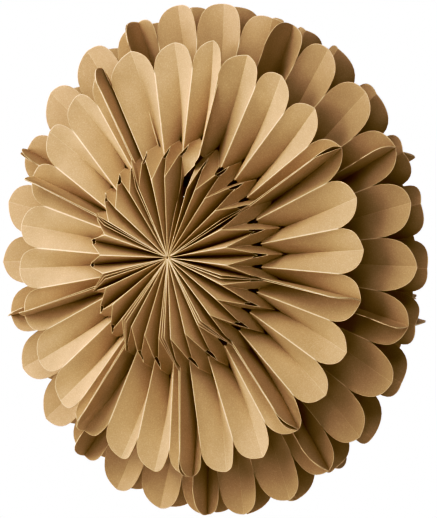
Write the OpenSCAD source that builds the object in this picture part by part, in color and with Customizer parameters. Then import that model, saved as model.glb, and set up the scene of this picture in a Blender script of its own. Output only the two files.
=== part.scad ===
// Paper star lantern: four pleated rosettes on one axis, front to back.
// Each rosette is a ring of nine folded sheets, glued end panel to end panel
// and left open at one seam. The axis lies along Y, the front faces -Y.

/* [Overall] */
// Tip radius of the two small rosettes at the front and the back
rosette_r = 190; // [180:1:200]
// Tip radius of the two large rings between them
ring_r = 225; // [215:1:235]
// Distance from the middle plane to the point where the front pleats meet
apex_w = 55.5; // [54:0.5:60]
// Thickness of the folded paper
paper = 0.4; // [0.3:0.05:0.5]
// Radius of the small hole where the pleats meet on the axis
hub_r = 7; // [6:0.5:10]

/* [Seam] */
// Angle at which a rosette's open seam lies, from +X towards +Z
seam_at = 74.4; // [60:0.2:90]
// Width of the open seam in degrees
seam_gap = 1.5; // [1:0.1:3]
// Turn of the large rings against the rosettes, in degrees
ring_turn = -3.2; // [-5:0.1:0]
// How far the large rings' petals beside the seam are drawn to it, in degrees
ring_pull = 10; // [0:0.5:10]

/* [Inner star] */
// Depth of the pleats where they meet on the axis
hub_depth = 19; // [17:0.5:20]
// Radius of the star's notches, where the raised pleats end
star_notch_r = 70; // [66:1:74]
// Height of the star's notches above the apex
star_notch_h = 8; // [6:0.5:10]
// Radius of the star's tips, where the sunk pleats end
star_tip_r = 93; // [90:1:96]
// Height of the star's tips against the apex
star_tip_h = -6; // [-8:0.5:-4]

/* [Step below the star] */
// Radius at which the ridge between two petals starts
step_ridge_r = 85; // [83:1:88]
// Height of that point against the apex
step_ridge_h = -14; // [-16:0.5:-12]
// Radius at which a petal's centre crease starts
step_valley_r = 105; // [102:1:108]
// Height of that point against the apex
step_valley_h = -30; // [-30:0.5:-26]
// Half length of the punched holes along the crease
hole_l = 2.2; // [1:0.1:2.5]

/* [Petals] */
// Radius of the notches between the rosette's petals
notch_r = 165; // [155:1:172]
// Height of those notches against the apex
notch_h = -16.5; // [-18:0.5:-15]
// Height of the rosette's petal tips against the apex
tip_h = -16.5; // [-18:0.5:-15]
// How far the petals' centre creases sag between the step and the tip
petal_sag = 2.5; // [0:0.5:3]
// Radius of the notches between the ring's petals
ring_notch_r = 189; // [180:1:200]
// Distance of the ring's notches from the middle plane
ring_notch_w = 16; // [14:0.5:18]
// Distance of the ring's petal tips from the middle plane
ring_tip_w = 10; // [9:0.5:12]
// Inner radius of the large rings
ring_in_r = 72; // [70:1:80]
// Distance of a ring's raised pleats from the middle plane at its inner edge
ring_in_ridge_w = 25.5; // [23:0.5:26]
// Distance of a ring's sunk pleats from the middle plane at its inner edge
ring_in_valley_w = 0.8; // [0.8:0.1:2]
// Roundness of the petal ends, 2 for an ellipse
petal_round = 2.2; // [1.8:0.1:3]

/* [Hidden] */

// Nine sheets of four petals each: eight panels a sheet, and the two end
// panels that meet at each of the eight glued joints stand up as one fin.
sheets = 9;
petals_per_sheet = 4;
visible_petals = sheets * petals_per_sheet - (sheets - 1);
pitch = (360 - seam_gap) / visible_petals;
// The glued end panels lie this far either side of the joint
glue_d = paper / 2 + 0.03;
// Where the foot of the step is folded back against a fin, it stands off
// this far at the valley and at the fin's free edge
fold_back = [3, 5];
// The two edges of the open seam are at least this far from its middle
seam_d = paper / 2 + 0.15;
// Share of ring_pull by which crease c is drawn to the seam
function drawn(c) =
  c == 0 || c == 2 * visible_petals ? 0.415 : max(0, 1 - c / 16);
// Where the columns of points stand between a ridge (0) and a valley (1)
steps_u = [0, 0.08, 0.3, 0.62, 0.92, 1];

// A point at radius r and angle a, moved sideways by d, at depth w
function at(r, a, d, w) = [r * cos(a) - d * sin(a), -w, r * sin(a) + d * cos(a)];
// A unit vector
function unit(v) = v / norm(v);
// The point at distance a from p and b from q, on the left of p to q when
// side is 1 and on the right when it is -1
function meet(p, q, a, b, side) =
  let (d = norm(q - p), x = (a * a - b * b + d * d) / (2 * d),
       y = sqrt(max(0, a * a - x * x)), e = (q - p) / d)
  p + x * e + side * y * [-e[1], e[0]];

// Creases of sheet s, from one end to the other:
// [0 ridge, 1 valley or 2 free ridge of a fin, angle, sideways shift]
function creases(s, pull) =
  let (step = 2 * (petals_per_sheet - 1), first = step * s + (s == 0 ? 0 : 1),
       last = step * (s + 1) + (s == sheets - 1 ? 2 : 1))
  concat(
    s == 0 ? [] : [[2, angle_of(first, pull), glue_d]],
    [for (c = [first : last])
      [c % 2, angle_of(c, pull),
       c == first ? (s == 0 ? seam_d : glue_d)
         : c == last ? (s == sheets - 1 ? -seam_d : -glue_d) : 0]],
    s == sheets - 1 ? [] : [[2, angle_of(last, pull), -glue_d]]);
function angle_of(c, pull) =
  seam_at + seam_gap / 2 + c * pitch / 2 - pull * drawn(c);

// Rows with one more between the last two, at the fraction t of the way and
// deeper by sag
function with_mid(R, t, sag = 0) =
  let (n = len(R) - 1)
  concat([for (i = [0 : n - 1]) R[i]],
         [R[n - 1] + t * (R[n] - R[n - 1]) - [0, sag]], [R[n]]);
// Radius and depth of a rosette's ridges and valleys at its rows: the hub,
// the star's rim, the foot of the step, the middle and the end of the petal
ridge_rows = with_mid([[hub_r, apex_w + hub_r * star_notch_h / star_notch_r],
  [star_notch_r, apex_w + star_notch_h], [step_ridge_r, apex_w + step_ridge_h],
  [notch_r, apex_w + notch_h]], 0.5);
valley_rows = with_mid([
  [hub_r, apex_w - hub_depth + hub_r * (star_tip_h + hub_depth) / star_tip_r],
  [star_tip_r, apex_w + star_tip_h], [step_valley_r, apex_w + step_valley_h],
  [rosette_r, apex_w + tip_h]], 0.35, petal_sag);
// The same for a ring, which has its inner edge, a middle and the petal's end
ring_ridge_rows =
  with_mid([[ring_in_r, ring_in_ridge_w], [ring_notch_r, ring_notch_w]], 0.45);
ring_valley_rows =
  with_mid([[ring_in_r, ring_in_valley_w], [ring_r, ring_tip_w]], 0.35, petal_sag / 2);

// Distance between ridge row i and valley row j on the opened panel
function across(R, V, i, j) =
  norm(at(R[i][0], 0, 0, R[i][1]) - at(V[j][0], pitch / 2, 0, V[j][1]));
// The ridge of a panel that stands up in one plane as a fin: each of its
// points keeps its distances along and across the panel. The foot of the
// step (row 2) is folded back, so it lies on the other side
function fin_rows(R, V) = fin_from(R, V, 1, [fin_start(R, V)]);
function fin_start(R, V) = V[0] + across(R, V, 0, 0) * unit([0.08, 1]);
function fin_from(R, V, i, done) =
  i == len(R) ? done
  : let (t = i == len(R) - 1 ? [R[i][0], valley_at(V, i, R[i][0])] : V[i],
         b = i == len(R) - 1
           ? norm(at(R[i][0], 0, 0, R[i][1]) - at(t[0], pitch / 2, 0, t[1]))
           : across(R, V, i, i))
    fin_from(R, V, i + 1, concat(done,
      [meet(t, done[i - 1], b, norm(R[i] - R[i - 1]),
            i == 2 && len(R) > 3 ? 1 : -1)]));
// Depth of the last valley stretch at radius r
function valley_at(V, i, r) =
  V[i - 1][1] + (V[i][1] - V[i - 1][1]) * (r - V[i - 1][0]) / (V[i][0] - V[i - 1][0]);

// Radius of the petal's outline at u, from the notch (0) to the tip (1)
function outline(R, V, u) =
  let (n = len(R) - 1)
  R[n][0] + (V[n][0] - R[n][0]) * pow(1 - pow(1 - u, petal_round), 0.62);

// One column of points between crease a and crease b at fraction u of the
// way from ridge to valley
function column(R, V, F, ridge, valley, u) =
  let (n = len(R) - 1, G = ridge[0] == 2 ? F : R, ro = outline(R, V, u),
       ta = (ro - R[n - 1][0]) / (R[n][0] - R[n - 1][0]),
       tb = (ro - V[n - 1][0]) / (V[n][0] - V[n - 1][0]))
  [for (i = [0 : n])
    let (g = i < n ? G[i] : G[n - 1] + ta * (G[n] - G[n - 1]),
         v = i < n ? V[i] : V[n - 1] + tb * (V[n] - V[n - 1]))
    (1 - u) * at(g[0], ridge[1], aside(ridge, i, n, 1), g[1])
      + u * at(v[0], valley[1], aside(valley, i, n, 0), v[1])];

// Sideways shift of a crease at row i of 0 to n; end is 1 on a fin's free edge
function aside(c, i, n, end) =
  c[2] + (i == 2 && n > 2 && abs(c[2]) == glue_d ? sign(c[2]) * fold_back[end] : 0);

// All columns of a sheet, side by side. Each is [crease type or -1, points,
// sideways direction in a glued panel or 0]
function sheet_columns(R, V, s, pull) =
  let (C = creases(s, pull), F = fin_rows(R, V), k = len(steps_u) - 1, n = len(C) - 1)
  [for (p = [0 : n - 1], m = [0 : k])
    if (m < k || p == n - 1)
    let (up = C[p][0] == 1,
         glued = (C[0][0] == 2 && (p == 0 || (p == 1 && m == 0)))
           || (C[n][0] == 2 && p == n - 1),
         u = up ? steps_u[k - m] : steps_u[m],
         ridge = up ? C[p + 1] : C[p], valley = up ? C[p] : C[p + 1])
    [(m == 0 && p > 0) ? C[p][0] : -1, column(R, V, F, ridge, valley, u),
      glued ? at(0, C[p][1], 1, 0) : [0, 0, 0]]];

// A closed thin sheet through the columns. Holes are left at the star's
// tips and at both feet of the step when punched is true.
module folded_sheet(cols, punched) {
  // A glued panel's skins stay on their own side of the joint
  own_side = function (L, D)
    let (x = L * D) L - sign(x) * max(0, abs(x) - paper / 2) * D;
  P = [for (c = cols) c[1]];
  M = len(P) - 1;
  rows = len(P[0]) - 1;
  Q = [for (m = [0 : M - 1]) [for (i = [0 : rows - 1])
        unit(cross(P[m + 1][i + 1] - P[m][i], P[m][i + 1] - P[m + 1][i]))]];
  // A hole sits on the crease of column m at row i
  H = [for (m = [0 : M]) [for (i = [0 : rows])
        punched && ((cols[m][0] == 1 && (i == 1 || i == 2))
          || (cols[m][0] == 0 && i == 2))]];
  lift = function (m, i, lo, hi)
    let (N = [for (a = [m - 1, m], b = [lo, hi])
           if (a >= 0 && a < M && b >= 0 && b < rows) Q[a][b]],
         s = unit([for (x = [0 : 2]) sumof([for (q = N) q[x]])]),
         d = min([for (q = N) q * s]),
         // above 0 where the sheet bends down to both sides of the column
         bend = m > 0 && m < M ? (P[m][i] - (P[m - 1][i] + P[m + 1][i]) / 2) * s : 0,
         inner = paper / 2 / max(0.03, d), outer = paper / 2 / max(0.5, d))
    [own_side(s * (bend > 0.02 ? outer : bend < -0.02 ? inner : outer), cols[m][2]),
     own_side(s * (bend > 0.02 ? inner : outer), cols[m][2])];
  base = [for (m = [0 : M], i = [0 : rows])
    H[m][i]
      ? [P[m][i] + hole_l * unit(P[m][i + 1] - P[m][i]), lift(m, i, i, i)]
      : [P[m][i], lift(m, i, i - 1, i)]];
  hole_at = [for (m = [0 : M], i = [0 : rows]) if (H[m][i]) [m, i]];
  extra = [for (h = hole_at)
    [P[h[0]][h[1]] + hole_l * unit(P[h[0]][h[1] - 1] - P[h[0]][h[1]]),
     lift(h[0], h[1], h[1] - 1, h[1] - 1)]];
  V = concat(base, extra);
  nv = len(V);
  W = rows + 1;
  // Index of a corner seen from the strip above (low) or below (top) its row.
  // At the inner edge of a rosette the two columns beside a crease are one
  // with it, because the folds are too sharp there for the skins to part
  K = len(steps_u) - 1;
  low = function (m, i)
    i > 0 || !punched || (m % K > 1 && m % K < K - 1) ? m * W + i
      : round(m / K) * K * W;
  top = function (m, i)
    H[m][i]
      ? (M + 1) * W + search([[m, i]], hole_at)[0]
      : m * W + i;
  quads = [for (m = [0 : M - 1], i = [0 : rows - 1])
    [low(m, i), low(m + 1, i), top(m + 1, i + 1), top(m, i + 1)]];
  rim = concat(
    [for (m = [0 : M - 1]) [low(m + 1, 0), low(m, 0)]],
    [for (m = [0 : M - 1]) [low(m, rows), low(m + 1, rows)]],
    [for (i = [0 : rows - 1]) [low(0, i), low(0, i + 1)]],
    [for (i = [0 : rows - 1]) [low(M, i + 1), low(M, i)]],
    [for (h = hole_at) let (m = h[0], i = h[1])
      each [[low(m - 1, i), top(m, i)], [top(m, i), low(m + 1, i)],
            [low(m + 1, i), low(m, i)], [low(m, i), low(m - 1, i)]]]);
  faces = concat(
    [for (q = quads) each concat(q[0] == q[1] ? [] : [[q[0], q[1], q[2]]],
                                 [[q[0], q[2], q[3]]])],
    [for (q = quads) each concat(
        q[0] == q[1] ? [] : [[q[1] + nv, q[0] + nv, q[2] + nv]],
        [[q[2] + nv, q[0] + nv, q[3] + nv]])],
    [for (e = rim) if (e[0] != e[1])
      each [[e[0], e[1], e[1] + nv], [e[0], e[1] + nv, e[0] + nv]]]);
  polyhedron(points = concat([for (v = V) v[0] + v[1][0]], [for (v = V) v[0] - v[1][1]]),
    faces = [for (f = faces) [f[2], f[1], f[0]]], convexity = 10);
}
function sumof(v, i = 0) = i == len(v) ? 0 : v[i] + sumof(v, i + 1);

module front_rosette_sheet(s) {
  color([0.80, 0.65, 0.44])
    folded_sheet(sheet_columns(ridge_rows, valley_rows, s - 1, 0), true);
}
module front_ring_sheet(s) {
  color([0.72, 0.57, 0.37])
    rotate([0, -ring_turn, 0])
      folded_sheet(sheet_columns(ring_ridge_rows, ring_valley_rows, s - 1, ring_pull), false);
}
module back_ring_sheet(s) {
  color([0.68, 0.53, 0.34]) mirror([0, 1, 0]) front_ring_sheet(s);
}
module back_rosette_sheet(s) {
  color([0.76, 0.61, 0.41]) mirror([0, 1, 0]) front_rosette_sheet(s);
}

front_rosette_sheet(1);  // front_rosette_sheet_1
front_rosette_sheet(2);  // front_rosette_sheet_2
front_rosette_sheet(3);  // front_rosette_sheet_3
front_rosette_sheet(4);  // front_rosette_sheet_4
front_rosette_sheet(5);  // front_rosette_sheet_5
front_rosette_sheet(6);  // front_rosette_sheet_6
front_rosette_sheet(7);  // front_rosette_sheet_7
front_rosette_sheet(8);  // front_rosette_sheet_8
front_rosette_sheet(9);  // front_rosette_sheet_9
front_ring_sheet(1);  // front_ring_sheet_1
front_ring_sheet(2);  // front_ring_sheet_2
front_ring_sheet(3);  // front_ring_sheet_3
front_ring_sheet(4);  // front_ring_sheet_4
front_ring_sheet(5);  // front_ring_sheet_5
front_ring_sheet(6);  // front_ring_sheet_6
front_ring_sheet(7);  // front_ring_sheet_7
front_ring_sheet(8);  // front_ring_sheet_8
front_ring_sheet(9);  // front_ring_sheet_9
back_ring_sheet(1);  // back_ring_sheet_1
back_ring_sheet(2);  // back_ring_sheet_2
back_ring_sheet(3);  // back_ring_sheet_3
back_ring_sheet(4);  // back_ring_sheet_4
back_ring_sheet(5);  // back_ring_sheet_5
back_ring_sheet(6);  // back_ring_sheet_6
back_ring_sheet(7);  // back_ring_sheet_7
back_ring_sheet(8);  // back_ring_sheet_8
back_ring_sheet(9);  // back_ring_sheet_9
back_rosette_sheet(1);  // back_rosette_sheet_1
back_rosette_sheet(2);  // back_rosette_sheet_2
back_rosette_sheet(3);  // back_rosette_sheet_3
back_rosette_sheet(4);  // back_rosette_sheet_4
back_rosette_sheet(5);  // back_rosette_sheet_5
back_rosette_sheet(6);  // back_rosette_sheet_6
back_rosette_sheet(7);  // back_rosette_sheet_7
back_rosette_sheet(8);  // back_rosette_sheet_8
back_rosette_sheet(9);  // back_rosette_sheet_9
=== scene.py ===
"""Paper star lantern: 36 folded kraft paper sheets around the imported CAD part."""

import math
import random

import bpy
import numpy as np
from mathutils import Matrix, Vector


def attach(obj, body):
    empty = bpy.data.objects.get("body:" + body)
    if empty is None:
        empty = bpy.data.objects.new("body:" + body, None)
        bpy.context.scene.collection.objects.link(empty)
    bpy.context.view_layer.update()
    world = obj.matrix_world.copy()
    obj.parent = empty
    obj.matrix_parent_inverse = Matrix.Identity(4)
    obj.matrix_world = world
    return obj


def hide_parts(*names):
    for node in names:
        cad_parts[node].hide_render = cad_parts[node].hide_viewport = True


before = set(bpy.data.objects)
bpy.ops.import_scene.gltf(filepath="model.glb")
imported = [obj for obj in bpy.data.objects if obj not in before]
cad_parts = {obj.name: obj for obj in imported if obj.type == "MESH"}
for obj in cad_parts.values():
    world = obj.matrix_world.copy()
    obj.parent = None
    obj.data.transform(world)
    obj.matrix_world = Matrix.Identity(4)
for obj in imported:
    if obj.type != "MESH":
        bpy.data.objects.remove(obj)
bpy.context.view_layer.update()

MM = 0.001

# ---------------------------------------------------------------- camera
# Seen from 38 degrees to the right of the axis, level with the centre
AZ = math.radians(37.8)
TO_CAM = Vector((math.sin(AZ), -math.cos(AZ), 0))
RIGHT = Vector((math.cos(AZ), math.sin(AZ), 0))
cam_data = bpy.data.cameras.new("camera")
cam_data.lens = 152.9
cam_data.sensor_width = 36
cam_data.clip_start, cam_data.clip_end = 0.05, 30
cam = bpy.data.objects.new("camera", cam_data)
bpy.context.scene.collection.objects.link(cam)
cam.location = TO_CAM * 1.918 + RIGHT * 0.0096 + Vector((0, 0, -0.0011))
cam.rotation_mode = "QUATERNION"
cam.rotation_quaternion = (-TO_CAM).to_track_quat("-Z", "Y")
bpy.context.scene.camera = cam

# ---------------------------------------------------------------- creases
# Each layer has 28 petals. Crease 2k is the ridge before petal k and crease
# 2k+1 is its centre valley, counted from the seam against the clock. The
# angles are the lantern's own, with the irregular spacing of folded paper.
PITCH = 358.5 / 28
SHEETS = 9
APEX = 55.5

# Where the petals end: angle in degrees, distance from the axis and depth in mm
ROSETTE_ENDS = [(78.8, 187.9, 38.1), (92.0, 185.3, 37.3), (107.2, 188.9, 37.6),
                (118.0, 189.7, 37.8), (130.2, 187.7, 36.5), (143.1, 189.3, 37.5),
                (156.8, 187.7, 36.1), (170.9, 188.8, 36.9), (183.0, 188.7, 36.8),
                (196.2, 189.1, 37.2), (209.6, 188.8, 36.9), (222.9, 188.7, 37.0),
                (234.4, 188.8, 37.2), (249.2, 188.1, 37.2), (261.2, 187.4, 37.4),
                (274.1, 187.4, 37.8), (285.5, 187.7, 38.2), (298.1, 188.6, 38.4),
                (311.5, 189.1, 38.4), (323.7, 189.5, 38.2), (336.0, 189.6, 38.3),
                (349.4, 190.2, 37.9), (361.9, 189.9, 38.1), (374.8, 189.4, 38.3),
                (387.9, 190.2, 37.9), (400.6, 187.6, 39.1), (414.1, 185.8, 39.4),
                (426.6, 184.9, 39.0)]
ROSETTE_DIPS = [(74.0, 166.8, 38.3), (85.1, 161.6, 38.4), (100.1, 161.5, 37.6),
                (116.9, 164.4, 38.2), (125.0, 163.0, 37.4), (137.3, 164.7, 38.3),
                (150.4, 163.9, 37.7), (163.6, 163.1, 36.8), (177.0, 164.0, 37.6),
                (189.6, 164.6, 38.2), (202.7, 164.2, 37.8), (216.0, 164.5, 38.1),
                (228.5, 166.5, 39.4), (241.2, 165.3, 38.6), (253.3, 163.3, 37.9),
                (266.0, 164.4, 38.4), (278.0, 163.0, 38.5), (290.6, 163.1, 38.8),
                (303.8, 162.5, 39.4), (316.8, 163.8, 39.1), (329.6, 164.2, 39.0),
                (342.0, 164.1, 39.1), (355.4, 165.6, 38.1), (368.1, 165.5, 38.2),
                (381.5, 164.2, 39.0), (393.9, 163.0, 39.6), (407.0, 162.3, 39.7),
                (420.3, 163.2, 39.0), (434.7, 160.7, 38.9)]
RING_ENDS = [(68.5, 218.4, 12.9), (82.8, 220.5, 11.8), (96.2, 221.9, 11.3), (108.6, 219.6, 9.8),
             (124.5, 225.4, 12.2), (138.7, 226.9, 13.4), (153.8, 224.0, 11.2),
             (166.9, 227.3, 14.2), (180.9, 227.8, 14.6), (193.4, 225.5, 12.4),
             (206.3, 226.9, 13.6), (219.7, 227.3, 13.7), (233.1, 220.6, 9.2),
             (245.7, 224.3, 11.7), (258.7, 222.4, 11.2), (272.1, 220.5, 11.5),
             (282.6, 223.2, 12.0), (295.6, 224.9, 12.0), (307.9, 223.8, 12.4),
             (318.9, 224.3, 12.3), (333.0, 225.4, 11.8), (345.6, 224.7, 12.2),
             (358.1, 226.2, 11.2), (371.5, 225.1, 11.9), (383.7, 224.6, 12.2),
             (397.7, 223.2, 12.9), (411.5, 222.6, 12.8), (422.5, 220.1, 13.1)]
BACK_ENDS = [(68.6, 217.3, 4.9), (83.3, 219.4, 5.3), (95.6, 221.2, 5.3), (108.8, 218.2, 2.8),
             (124.5, 225.0, 4.1), (138.8, 226.9, 3.2), (153.5, 222.6, 4.8), (166.5, 226.1, 2.9),
             (181.0, 227.6, 2.5), (193.8, 225.2, 3.1), (206.9, 225.6, 3.4), (220.3, 226.5, 4.5),
             (232.7, 219.2, 4.6), (246.3, 223.0, 3.4), (258.5, 222.2, 2.9), (271.6, 220.0, 4.3),
             (280.6, 223.1, 3.0), (294.5, 224.6, 2.9), (307.3, 220.9, 1.7), (318.6, 226.5, 3.7),
             (332.7, 225.3, 3.2), (345.5, 222.4, 1.4), (357.7, 226.2, 3.8), (371.4, 224.8, 2.9),
             (383.1, 221.8, 1.1), (397.6, 223.3, 2.2), (412.0, 223.3, 2.4), (421.9, 219.1, 3.5)]
ROSETTE_TIPS = [a for a, r, w in ROSETTE_ENDS]
ROSETTE_NOTCHES = [a for a, r, w in ROSETTE_DIPS]
RING_TIPS = [a for a, r, w in RING_ENDS]
BACK_TIPS = [a for a, r, w in BACK_ENDS]


# The inner star's tips, its notches (ridges) and the free ridges of its fins:
# angle in degrees and distance from the axis in mm.
STAR_TIPS = [(81.6, 96), (93.3, 94), (109.5, 95.4), (118.5, 95.4), (130.3, 93.9), (144.3, 95.3),
             (156.2, 95.1), (170.6, 94.3), (184, 95.1), (198.2, 93.7), (209.9, 95.6),
             (223.2, 95.1), (237.4, 95.6), (248.2, 95.5), (260.7, 95.3), (274.1, 95.9),
             (285.1, 95.7), (298, 96.3), (311.5, 97.8), (323.3, 96.9), (335.7, 97.5),
             (349.1, 97.3), (361.3, 97.1), (373.8, 96.3), (388, 92.4), (400.5, 94.6),
             (412.8, 94.1), (425.8, 89.8)]
STAR_NOTCHES = [(75, 62), (87.3, 68.5), (99.3, 67.1), (113.1, 64.9), (122.6, 65.5), (140.3, 66.5),
                (152.4, 66.7), (162.7, 66.4), (178.2, 68.6), (191.8, 66.8), (202.7, 67.1),
                (216.6, 67.9), (230, 68.4), (240.5, 67.8), (254.2, 68.4), (267.5, 68),
                (278.1, 69.1), (291.8, 68.7), (304.7, 68.7), (317.3, 70.6), (329.5, 68.8),
                (340.8, 68.4), (354.8, 69.8), (367, 69.1), (380, 67.4), (394.2, 69.6),
                (406.7, 68), (417.5, 66.8), (424.3, 63.2)]
STAR_FINS = {3: (113.4, 66.9), 6: (154.9, 70), 9: (195.3, 64.9), 12: (233.9, 67.4), 15: (271.9, 68.1),
             18: (308.3, 68.6), 21: (346.1, 66.9), 24: (385, 72.2)}
# Where the second fold crosses the valleys and the ridges, as far as it can be seen
SECOND_TIPS = {0: (81.7, 104.7), 1: (94.5, 103), 4: (131.4, 106.7), 5: (143.9, 106.4), 10: (209.4, 107.3),
               11: (221.6, 106.3), 14: (258.7, 104.7), 17: (295.9, 103.8), 19: (323, 105.8),
               20: (335.2, 105.1), 21: (348.9, 101.4), 22: (361.7, 104.2), 23: (374.1, 104.2),
               25: (401.3, 101.3), 26: (414, 101.7), 27: (431, 99.5)}


def star_places():
    """Crease points of the star that are set one by one:
    (crease, kind, row): (angle, radius, depth)."""
    out = {}
    for k, (a, r) in enumerate(STAR_TIPS):
        c = 2 * k + 1
        out[(c, 1, 0)] = (a, 2.6, APEX - 18.6)
        out[(c, 1, 1)] = (a, r, APEX - 6)
        out[(c, 1, 2)] = (*SECOND_TIPS.get(k, ((a + ROSETTE_TIPS[k]) / 2, 104.5)), APEX - 30)
    for k, (a, r) in enumerate(STAR_NOTCHES):
        c = 2 * k
        out[(c, 0, 0)] = (a, 1.2, APEX + 0.1)
        out[(c, 0, 1)] = (a, r, APEX + 8)
        out[(c, 0, 2)] = (0.75 * a + 0.25 * ROSETTE_NOTCHES[k], 84.5, APEX - 14)
    for k, end in enumerate(ROSETTE_ENDS):
        out[(2 * k + 1, 1, 3)] = end
    for k, end in enumerate(ROSETTE_DIPS):
        out[(2 * k, 0, 3)] = end
    # the two free ends at the seam: one pushed in and dented, the other upright
    # and lying over the first petal's edge
    out[(0, 0, 1)] = (80.1, 69.8, 57)
    out[(0, 0, 2)] = (67.8, 86.7, 55)
    out[(0, 0, 3)] = (73.8, 162.5, 39.5)
    out[(56, 0, 1)] = (64.5, 63.5, APEX + 8.5)
    out[(56, 0, 2)] = (74.4, 85.3, 43)
    out[(56, 0, 3)] = (74.0, 157.9, 42)
    for k, (a, r) in STAR_FINS.items():
        out[(2 * k + 1, 2, 0)] = (a, 3.8, APEX + 0.2)
        out[(2 * k + 1, 2, 1)] = (a, r, APEX + 9)
    return out


def ring_places(ends, seam):
    out = {(2 * k + 1, 1, 1): (a, r - 2.6 * math.cos(math.radians(a)) + 2.2 * max(0, -math.sin(math.radians(a))), w)
           for k, (a, r, w) in enumerate(ends)}
    if seam:
        # the first petal's last panel passes behind the ninth sheet
        out[(0, 0, 0)] = (66.6, 72, 20)
        out[(0, 0, 1)] = (64.8, 189, 4)
        # whose own last petal is folded steeply
        out[(56, 0, 1)] = (64.9, 190.5, 29)
        out[(55, 1, 1)] = (63.8, 218.6, 6)
    return out


def interleave(notches, tips):
    out = []
    for k, t in enumerate(tips):
        out += [notches[k], t]
    return out + [notches[len(tips)]]


def between(tips, first, last):
    return [first] + [(a + b) / 2 for a, b in zip(tips, tips[1:])] + [last]


def jittered(angles, rng, amount):
    return [a + rng.uniform(-amount, amount) for a in angles]


def at(r, a, d, w):
    c, s = np.cos(np.radians(a)), np.sin(np.radians(a))
    return np.stack([r * c - d * s, -w * np.ones_like(r * c), r * s + d * c], axis=-1)


# ---------------------------------------------------------------- profiles
# Radius and depth of the ridges and the valleys, row by row, in mm. The pleats
# keep their full depth to the hub, where they lie against each other.
ROSETTE_R = [(1.2, APEX + 0.1), (70, APEX + 8), (85, APEX - 14), (165, APEX - 16.5)]
ROSETTE_V = [(2.6, APEX - 18.6), (93, APEX - 6), (105, APEX - 30), (190, APEX - 16.5)]
RING_R = [(72, 25.5), (189, 16)]
RING_V = [(72, 0.8), (225, 10)]


def flat(r, a, w):
    return np.array([r * math.cos(a), r * math.sin(a), w])


def across(R, V, i, j):
    h = math.radians(PITCH / 2)
    return np.linalg.norm(flat(R[i][0], 0, R[i][1]) - flat(V[j][0], h, V[j][1]))


def meet(p, q, a, b, side):
    p, q = np.array(p, float), np.array(q, float)
    d = np.linalg.norm(q - p)
    e = (q - p) / d
    x = (a * a - b * b + d * d) / (2 * d)
    y = math.sqrt(max(0, a * a - x * x))
    return p + x * e + side * y * np.array([-e[1], e[0]])


def fin_rows(R, V):
    """The free ridge of a glued end panel that stands up in one plane."""
    n = len(R) - 1
    u = np.array([0.08, 1.0])
    out = [np.array(V[0], float) + across(R, V, 0, 0) * u / np.linalg.norm(u)]
    for i in range(1, n + 1):
        t, b = V[i], across(R, V, i, i)
        if i == n:
            k = (R[i][0] - V[i - 1][0]) / (V[i][0] - V[i - 1][0])
            t = (R[i][0], V[i - 1][1] + (V[i][1] - V[i - 1][1]) * k)
            b = np.linalg.norm(flat(R[i][0], 0, R[i][1])
                               - flat(t[0], math.radians(PITCH / 2), t[1]))
        a = math.dist(R[i], R[i - 1])
        out.append(meet(t, out[-1], b, a, 1 if (i == 2 and len(R) > 3) else -1))
    return [tuple(p) for p in out]


def outline(R, V, u):
    n0, n1 = R[-1][0], V[-1][0]
    cut, fullness = (0.90, 0.54) if len(R) == 2 else (0.86, 0.60)
    full = (1 - (1 - cut) ** 2.2) ** fullness        # the petal comes to a slight point
    return n0 + (n1 - n0) * (1 - (1 - cut * u) ** 2.2) ** fullness / full


# ---------------------------------------------------------------- folded sheet
EDGE = (0.0, 0.5, 1.3, 2.3)      # columns this far from a crease, in mm
MIDDLE = 7                        # more columns between them
ROWS = {"inner": ((0, 0.5, 2.0), 8, (3.2, 1.5, 0.55, 0)),
        "step": ((0, 0.55, 1.5, 3.2), 2, (3.2, 1.5, 0.55, 0)),
        "petal": ((0, 0.55, 1.5, 3.2), 13, (2.0, 0.5, 0)),
        "ring": ((0, 0.5, 2.0), 15, (2.0, 0.5, 0))}
# half length along the crease and half width of the holes at the folds, in mm
HOLES = {(1, True): (5.6, 8.8), (2, True): (3.4, 3.8), (2, False): (4.6, 5.2)}
GLUE = 0.22
SEAM = 0.35


def spread(length, kind):
    """Distances of the rows along a stretch of paper of this length."""
    head, n, tail = ROWS[kind]
    s = min(1.0, length / 14)
    head = [h * s for h in head]
    tail = [length - t * s for t in tail]
    mid = np.linspace(head[-1], tail[0], n + 2)[1:-1]
    return np.array([*head, *mid, *tail])


def columns(width):
    """Fractions across a panel of this width, close together at its creases."""
    s = np.minimum(1.0, width / 9)[..., None]
    e = np.array(EDGE) * s / width[..., None]
    a = e[..., -1:]
    mid = a + (1 - 2 * a) * np.linspace(0, 1, MIDDLE + 2)[1:-1]
    return np.concatenate([e, mid, 1 - e[..., ::-1]], axis=-1)


def crease_points(layer, c):
    """Rows of points on a crease: c = (kind, index, angle, side, glued)."""
    kind, index, angle, side, glued = c
    R, V, F = layer["R"], layer["V"], layer["F"]
    rows = V if kind == 1 else (F if kind == 2 else R)
    n = len(rows) - 1
    pts = []
    for i, (r, w) in enumerate(rows):
        d = 0.0
        if side:
            d = side * (GLUE if glued else SEAM)
            if glued and n > 1 and i in (1, 2):
                d += side * {(1, 1): 0.0, (1, 2): 0.3, (2, 1): 1.1, (2, 2): 0.5, (0, 1): 0, (0, 2): 0}[(kind, i)]
        dr, dw, da = layer["wobble"].get((index, kind, i), (0, 0, 0))
        place = layer["places"].get((index, kind, i))
        if place is not None:
            p = at(np.array(float(place[1])), place[0], d, place[2])
        else:
            p = at(np.array(r + dr), angle + da, d, w + dw)
        special = layer["special"].get((index, kind, side, i))
        if special is not None:
            p = np.array(special, float)
        pts.append(p)
    return pts


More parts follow.
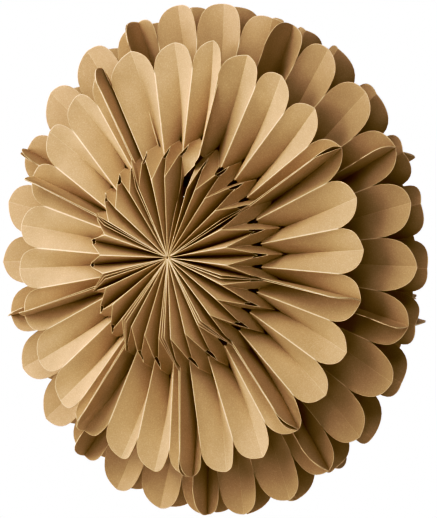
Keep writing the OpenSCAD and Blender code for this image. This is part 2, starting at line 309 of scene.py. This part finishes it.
def panel(layer, a, b, rng):
    """Grid of points from crease a to crease b (sides swapped so that u runs
    from ridge to valley), with its edge marks and the rows of the fold lines."""
    ridge, valley = (a, b) if a[0] != 1 else (b, a)
    R, V = layer["R"], layer["V"]
    G = layer["F"] if ridge[0] == 2 else R
    g, v = crease_points(layer, ridge), crease_points(layer, valley)
    n = len(R) - 1
    kinds = layer["kinds"]
    nu = 2 * len(EDGE) + MIDDLE
    grid, marks, painted_fold_shade = [], [], []
    punched = layer["punched"]
    for i in range(n):
        last = i == n - 1
        length = min(np.linalg.norm(g[i + 1] - g[i]), np.linalg.norm(v[i + 1] - v[i]))
        base = spread(length, kinds[i]) / length
        f = np.repeat(base[:, None], nu, axis=1)                # rows x columns
        # width at every row decides how the columns crowd at the creases
        w0, w1 = np.linalg.norm(g[i] - v[i]), np.linalg.norm(g[i + 1] - v[i + 1])
        width = w0 + (w1 - w0) * base
        U = columns(width)
        start = (1 - U[..., None]) * g[i] + U[..., None] * v[i]
        if last:
            ro = outline(R, V, U)
            ta = (ro - R[n - 1][0]) / (R[n][0] - R[n - 1][0])
            tb = (ro - V[n - 1][0]) / (V[n][0] - V[n - 1][0])
            ge = g[i] + ta[..., None] * (g[i + 1] - g[i])
            ve = v[i] + tb[..., None] * (v[i + 1] - v[i])
            end = (1 - U[..., None]) * ge + U[..., None] * ve
        else:
            end = (1 - U[..., None]) * g[i + 1] + U[..., None] * v[i + 1]
        reach = np.linalg.norm(end - start, axis=-1)
        # diamond holes: the row of the fold line opens along the crease
        def opening(row, line, on_valley):
            wd = width[row]
            u = U[row]
            d = (1 - u) * wd if on_valley else u * wd
            long, wide = HOLES[(line, on_valley)]
            return long * (1 - np.clip(d / wide, 0, 1) ** 2.8)
        h0 = np.zeros(nu)
        h1 = np.zeros(nu)
        if punched and ridge[0] != 2:
            if i in (1, 2):
                h0 = np.maximum(h0, opening(0, i, True))
            if i + 1 in (1, 2) and not last:
                h1 = np.maximum(h1, opening(-1, i + 1, True))
            if i == 2:
                h0 = np.maximum(h0, opening(0, i, False))
            if i + 1 == 2 and not last:
                h1 = np.maximum(h1, opening(-1, i + 1, False))
        fh0, fh1 = h0 / reach[0], h1 / reach[-1]
        f = np.where(f < 0.5, fh0 + f * (1 - 2 * fh0), f)
        f = np.where(f >= 0.5, 1 - fh1 - (1 - f) * (1 - 2 * fh1), f)
        P = start + f[..., None] * (end - start)
        # edge marks on creases and cut edges, painted lighter by the material: part paler paper edge, part painted
        # highlight
        m = np.zeros(f.shape)
        m[:, 0], m[:, 1] = 1.0, 0.75
        m[:, -1] = 0.35
        m[0, :] = 1.0
        m[-1, :] = 1.0
        # the panel's own curve, none at the creases
        nrm = np.cross(end.mean(0).mean(0) - start.mean(0).mean(0), v[i] - g[i])
        nrm = nrm / np.linalg.norm(nrm)
        if nrm[1] > 0:
            nrm = -nrm
        s = np.sin(np.pi * np.clip(U, 0, 1))
        if last:
            grow = np.clip(f, 0, 1) ** 1.3
            amp = layer["bulge"] * rng.uniform(0.5, 1.4)
            P = P - (amp * s * grow)[..., None] * nrm
            P[..., 1] += layer["sag"] * np.sin(np.pi * np.clip(f, 0, 1)) * U
            past = np.clip((f * ta - 1) / 0.31, 0, 1)
            P[..., 1] -= layer["lift"] * past * (1 - U)
            P = P + (rng.uniform(-0.6, 0.6) * np.sin(2 * np.pi * U) * grow)[..., None] * nrm
        else:
            amp = rng.uniform(-0.25, 0.45) * (1.0 if i == 0 else 0.5)
            P = P + (amp * s * np.sin(np.pi * f))[..., None] * nrm
            if layer["dent"] and (ridge[1], valley[1]) == (0, 1):
                # the free end panel is folded over once more along a slant
                if i == 1:
                    P[..., 1] += layer["dent"] * np.clip(1 - U / 0.67 - f, 0, 1)
                else:
                    P[..., 1] += layer["dent"] * np.clip(1 - U / 0.67, 0, 1) * f ** 2
        grid.append(P)
        marks.append(m)
        # painted shade: how dark each point is painted, rising from ridge to valley in the star, faint on the step,
        # and near the valleys at the petals' roots
        painted_fold_shade.append(U ** 1.2 if n > 1 and i == 0 else (0.1 + 0 * U if n > 1 and i == 1 else
                    0.5 * np.clip(1 - 3 * f, 0, 1) * U))
    return grid, marks, painted_fold_shade


def make_sheet(name, layer, s, rng):
    C = layer["sheets"][s]
    vid, co, mark, shade, faces = {}, [], [], [], []
    n = len(layer["R"]) - 1
    nu = 2 * len(EDGE) + MIDDLE

    def vertex(key, p, m, dp):
        if key not in vid:
            vid[key] = len(co)
            co.append(np.array(p, float))
            mark.append(m)
            shade.append(dp)
        else:
            mark[vid[key]] = max(mark[vid[key]], m)
        return vid[key]

    for p in range(len(C) - 1):
        a, b = C[p], C[p + 1]
        flip = a[0] == 1          # u runs from ridge to valley, so from b to a
        grid, marks, painted_fold_shade = panel(layer, a, b, rng)
        for i in range(n):
            G, m = grid[i], marks[i]
            rows = G.shape[0]
            ids = np.zeros((rows, nu), int)
            for r in range(rows):
                for q in range(nu):
                    # corners on a crease are shared by both panels beside it,
                    # and those on a fold line by both stretches along it,
                    # unless a hole has opened there
                    col = q if not flip else nu - 1 - q
                    if col == 0:
                        place = ("c", p)
                    elif col == nu - 1:
                        place = ("c", p + 1)
                    else:
                        place = ("p", p, q)
                    line = None
                    if r == 0 and i > 0:
                        line = i
                    elif r == rows - 1 and i < n - 1:
                        line = i + 1
                    if line is not None:
                        other = grid[i - 1][-1, q] if r == 0 else grid[i + 1][0, q]
                        if np.linalg.norm(other - G[r, q]) < 1e-6:
                            key = (place, "line", line)
                        else:
                            key = (place, "side", line, r == 0)
                    else:
                        key = (place, i, r)
                    ids[r, q] = vertex(key, G[r, q], m[r, q], painted_fold_shade[i][r, q])
            for r in range(rows - 1):
                for q in range(nu - 1):
                    f = [ids[r, q], ids[r, q + 1], ids[r + 1, q + 1], ids[r + 1, q]]
                    f = [x for k, x in enumerate(f) if x not in f[:k]]
                    if len(f) < 3:
                        continue
                    faces.append(f[::-1] if flip else f)
    co = np.array(co)
    if layer["back"]:
        co[:, 1] *= -1
        faces = [f[::-1] for f in faces]
    me = bpy.data.meshes.new(name)
    me.from_pydata((co * MM).tolist(), [], faces)
    me.update()
    me.polygons.foreach_set("use_smooth", [True] * len(me.polygons))
    # edge marks: where the material paints light lines, part paler cut edge and cracked fibre, part painted
    # highlight of the folds
    att = me.attributes.new("crease", "FLOAT", "POINT")
    att.data.foreach_set("value", np.array(mark, np.float32))
    # painted shade: how deep in a fold each point lies, which the material paints darker
    fold = me.attributes.new("fold", "FLOAT", "POINT")
    fold.data.foreach_set("value", np.array(shade, np.float32))
    tone = me.attributes.new("tone", "FLOAT", "POINT")
    tone.data.foreach_set("value", np.full(len(co), rng.uniform(-1, 1), np.float32))
    ob = bpy.data.objects.new(name, me)
    bpy.context.scene.collection.objects.link(ob)
    mod = ob.modifiers.new("thickness", "SOLIDIFY")
    mod.thickness = 0.36 * MM
    mod.offset = 0
    mod.use_even_offset = False
    return ob


def sheet_creases(angles):
    """The creases of the nine sheets of a layer. A crease is
    (0 ridge, 1 valley or 2 fin's free ridge; index; angle; side; glued)."""
    out = []
    for s in range(SHEETS):
        first = 6 * s + (0 if s == 0 else 1)
        last = 6 * (s + 1) + (2 if s == SHEETS - 1 else 1)
        C = []
        if s > 0:
            C.append((2, first, angles[first], 1, True))
        for c in range(first, last + 1):
            side = 1 if c == first else (-1 if c == last else 0)
            glued = (c == first and s > 0) or (c == last and s < SHEETS - 1)
            C.append((c % 2, c, angles[c], side, glued))
        if s < SHEETS - 1:
            C.append((2, last, angles[last], -1, True))
        out.append(C)
    return out


def make_layer(R, V, angles, kinds, punched, back, bulge, sag, lift, seed, places=None, special=None, dent=0):
    rng = random.Random(seed)
    n = len(R) - 1
    wobble = {}
    for c in range(len(angles)):
        for kind in (0, 1, 2):
            for i in range(1, n + 1):
                k = 1.0 if i == n else 0.35
                wobble[(c, kind, i)] = (rng.uniform(-0.8, 0.8) * k,
                                        rng.uniform(-1.2, 1.2) * k, 0)
    return {"R": R, "V": V, "F": fin_rows(R, V), "sheets": sheet_creases(angles),
            "kinds": kinds, "punched": punched, "back": back, "bulge": bulge, "sag": sag, "lift": lift,
            "wobble": wobble, "places": places or {}, "special": special or {}, "dent": dent,
            "rng": rng}


rng = random.Random(11)
ring_angles = interleave(between(RING_TIPS, 67.8, 427.0), RING_TIPS)
back_angles = interleave(between(BACK_TIPS, 72.0, 427.5), BACK_TIPS)
rosette_angles = interleave(ROSETTE_NOTCHES, ROSETTE_TIPS)
regular = [75.15 + PITCH / 2 * c for c in range(57)]
LAYERS = {
    "front_rosette": make_layer(ROSETTE_R, ROSETTE_V, rosette_angles,
                                ("inner", "step", "petal"), True, False, 1.6, 2.8, 6.0, 1,
                                star_places(), dent=10),
    "front_ring": make_layer(RING_R, RING_V, ring_angles, ("ring",), False, False, 2.0, 1.6, 6.0, 2,
                             ring_places(RING_ENDS, True)),
    "back_ring": make_layer(RING_R, RING_V, back_angles, ("ring",), False, True, 2.0, 1.6, 6.0, 3,
                            ring_places(BACK_ENDS, False)),
    "back_rosette": make_layer(ROSETTE_R, ROSETTE_V, jittered(regular, rng, 0.8),
                               ("inner", "step", "petal"), True, True, 1.6, 2.8, 6.0, 4),
}


# ---------------------------------------------------------------- paper
def kraft(name, base, dark, light):
    mat = bpy.data.materials.new(name)
    mat.use_nodes = True
    nt = mat.node_tree
    N, K = nt.nodes, nt.links
    N.clear()
    out = N.new("ShaderNodeOutputMaterial")
    bs = N.new("ShaderNodeBsdfPrincipled")
    bs.inputs["Roughness"].default_value = 0.88
    bs.inputs["Specular IOR Level"].default_value = 0.25
    K.new(bs.outputs[0], out.inputs["Surface"])
    tc = N.new("ShaderNodeTexCoord")

    def noise(scale, detail, rough=0.6):
        n = N.new("ShaderNodeTexNoise")
        n.inputs["Scale"].default_value = scale
        n.inputs["Detail"].default_value = detail
        n.inputs["Roughness"].default_value = rough
        K.new(tc.outputs["Object"], n.inputs["Vector"])
        return n

    def ramp(src, a, b):
        m = N.new("ShaderNodeMapRange")
        m.inputs["From Min"].default_value = a
        m.inputs["From Max"].default_value = b
        K.new(src, m.inputs["Value"])
        return m.outputs["Result"]

    def mix(fac, a, b, mode="MIX"):
        m = N.new("ShaderNodeMix")
        m.data_type = "RGBA"
        m.blend_type = mode
        for sock, x in ((m.inputs["Factor"], fac), (m.inputs["A"], a), (m.inputs["B"], b)):
            if isinstance(x, (int, float)):
                sock.default_value = x
            elif isinstance(x, tuple):
                sock.default_value = (*x, 1)
            else:
                K.new(x, sock)
        return m.outputs["Result"]

    def times(a, b):
        m = N.new("ShaderNodeMath")
        m.operation = "MULTIPLY"
        for sock, x in ((m.inputs[0], a), (m.inputs[1], b)):
            if isinstance(x, (int, float)):
                sock.default_value = x
            else:
                K.new(x, sock)
        return m.outputs[0]

    cloud = noise(26, 3).outputs["Fac"]
    fleck = noise(900, 3, 0.7).outputs["Fac"]
    fibre = noise(2600, 2, 0.6).outputs["Fac"]
    att = N.new("ShaderNodeAttribute")
    att.attribute_name = "crease"
    tone = N.new("ShaderNodeAttribute")
    tone.attribute_name = "tone"
    c = mix(ramp(cloud, 0.35, 0.65), tuple(x * 0.95 for x in base), tuple(min(1, x * 1.05) for x in base))
    c = mix(times(ramp(tone.outputs["Fac"], -1, 1), 0.35), c, dark)
    c = mix(times(ramp(fleck, 0.5, 0.8), 0.20), c, light)
    c = mix(times(ramp(fleck, 0.5, 0.22), 0.26), c, dark)
    c = mix(times(ramp(fibre, 0.52, 0.75), 0.18), c, light)
    # painted shade: the paper is painted a little darker down in the star's folds,
    # standing in for the shade in the deep pleats and at the petals' roots
    fold = N.new("ShaderNodeAttribute")
    fold.attribute_name = "fold"
    c = mix(times(fold.outputs["Fac"], 0.8), c, tuple(x * y for x, y in zip(dark, (0.50, 0.42, 0.32))))
    # painted highlight along creases and cut edges, flecked: partly the paler cut edge and cracked fibre of real
    # kraft, partly the light a rounded fold catches
    edge_wear_and_highlight = N.new("ShaderNodeMath")
    edge_wear_and_highlight.operation = "MULTIPLY_ADD"
    K.new(ramp(fleck, 0.3, 0.7), edge_wear_and_highlight.inputs[0])
    edge_wear_and_highlight.inputs[1].default_value = 0.35
    edge_wear_and_highlight.inputs[2].default_value = 0.65
    c = mix(times(times(att.outputs["Fac"], edge_wear_and_highlight.outputs[0]), 0.75), c, light)
    K.new(c, bs.inputs["Base Color"])
    bump = N.new("ShaderNodeBump")
    bump.inputs["Strength"].default_value = 0.25
    bump.inputs["Distance"].default_value = 0.0002
    add = N.new("ShaderNodeMath")
    add.operation = "ADD"
    K.new(fleck, add.inputs[0])
    K.new(fibre, add.inputs[1])
    K.new(add.outputs[0], bump.inputs["Height"])
    K.new(bump.outputs[0], bs.inputs["Normal"])
    return mat


paper_front = kraft("kraft_rosette", (0.41, 0.288, 0.168), (0.31, 0.21, 0.112), (0.83, 0.67, 0.45))
paper_ring = kraft("kraft_ring", (0.395, 0.272, 0.158), (0.295, 0.195, 0.102), (0.79, 0.63, 0.42))

for lname, layer in LAYERS.items():
    for s in range(SHEETS):
        node = f"{lname}_sheet_{s + 1}"
        ob = make_sheet(f"paper_{node}", layer, s, layer["rng"])
        ob.data.materials.append(paper_front if "rosette" in lname else paper_ring)
        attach(ob, "root")
        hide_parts(node)

# ---------------------------------------------------------------- floor
FLOOR_Z = -0.45
ring = [(1.5 * math.cos(t * math.tau / 96), 1.5 * math.sin(t * math.tau / 96), FLOOR_Z)
        for t in range(96)]
fme = bpy.data.meshes.new("floor")
fme.from_pydata(ring, [], [list(range(96))])
floor = bpy.data.objects.new("floor", fme)
bpy.context.scene.collection.objects.link(floor)
fm = bpy.data.materials.new("floor")
fm.use_nodes = True
fb = fm.node_tree.nodes["Principled BSDF"]
fb.inputs["Base Color"].default_value = (0.82, 0.81, 0.765, 1)
fb.inputs["Roughness"].default_value = 0.7
fme.materials.append(fm)


# ---------------------------------------------------------------- light
def area(name, where, target, size, power, colour=(1, 1, 1)):
    d = bpy.data.lights.new(name, "AREA")
    d.shape = "DISK"
    d.size = size
    d.energy = power
    d.color = colour
    o = bpy.data.objects.new(name, d)
    bpy.context.scene.collection.objects.link(o)
    o.location = where
    o.rotation_mode = "QUATERNION"
    o.rotation_quaternion = (Vector(target) - Vector(where)).to_track_quat("-Z", "Y")
    return o


def towards(azimuth, elevation, distance):
    """A place seen from the lantern: azimuth 0 is straight ahead of its front
    and grows to the right, in degrees."""
    a, e = math.radians(azimuth), math.radians(elevation)
    return Vector((math.sin(a) * math.cos(e), -math.cos(a) * math.cos(e), math.sin(e))) * distance


area("left", towards(-65, 8, 1.5), (0, 0, 0), 0.7, 16.4)
area("key", towards(-40, 34, 1.5), (0, 0, 0), 0.7, 8.1)
area("front_low", towards(-15, 8, 1.5), (0, 0, 0), 0.7, 5.8)
area("front_high", towards(-15, 34, 1.5), (0, 0, 0), 0.7, 5.1)
area("top", towards(-9, 60, 1.5), (0, 0, 0), 0.7, 7.7)
area("right_front", towards(40, 34, 1.5), (0, 0, 0), 0.7, 6.1)
area("right_low", towards(70, 8, 1.5), (0, 0, 0), 0.7, 3.5)
area("below", towards(20, -15, 1.5), (0, 0, 0), 0.7, 3.3)
area("back_left", towards(-155, 18, 1.5), (0, 0, 0), 0.7, 12)
area("back_right", towards(155, 30, 1.5), (0, 0, 0), 0.7, 8)

world = bpy.data.worlds.new("studio")
bpy.context.scene.world = world
world.use_nodes = True
wt = world.node_tree
bg = wt.nodes["Background"]
lp = wt.nodes.new("ShaderNodeLightPath")
mx = wt.nodes.new("ShaderNodeMixShader")
see = wt.nodes.new("ShaderNodeBackground")
see.inputs["Color"].default_value = (1, 1, 1, 1)
see.inputs["Strength"].default_value = 1.0
bg.inputs["Color"].default_value = (0.98, 0.99, 1.0, 1)
bg.inputs["Strength"].default_value = 0.0
wt.links.new(lp.outputs["Is Camera Ray"], mx.inputs["Fac"])
wt.links.new(bg.outputs[0], mx.inputs[1])
wt.links.new(see.outputs[0], mx.inputs[2])
wt.links.new(mx.outputs[0], wt.nodes["World Output"].inputs["Surface"])

vs = bpy.context.scene.view_settings
vs.view_transform = "Standard"
vs.look = "None"
# the contrast of a studio photograph: scene light in, picture light out, with
# shadows that grow warmer and highlights that grow paler than the paper
vs.use_curve_mapping = True
CURVES = {3: ((0.034, 0.010), (0.12, 0.047), (0.225, 0.122), (0.301, 0.205), (0.41, 0.335), (0.6, 0.56),
              (0.8, 0.778)),
          1: ((0.0252, 0.0105), (0.0666, 0.054), (0.216, 0.212), (0.429, 0.435), (0.59, 0.605)),
          2: ((0.02, 0.002), (0.036, 0.005), (0.05, 0.013), (0.075, 0.041), (0.11, 0.091),
              (0.154, 0.146), (0.2, 0.2), (0.24, 0.246), (0.275, 0.291), (0.34, 0.38), (0.55, 0.62))}
for channel, points in CURVES.items():
    curve = vs.curve_mapping.curves[channel]
    for x, y in points:
        curve.points.new(x, y)
vs.curve_mapping.update()
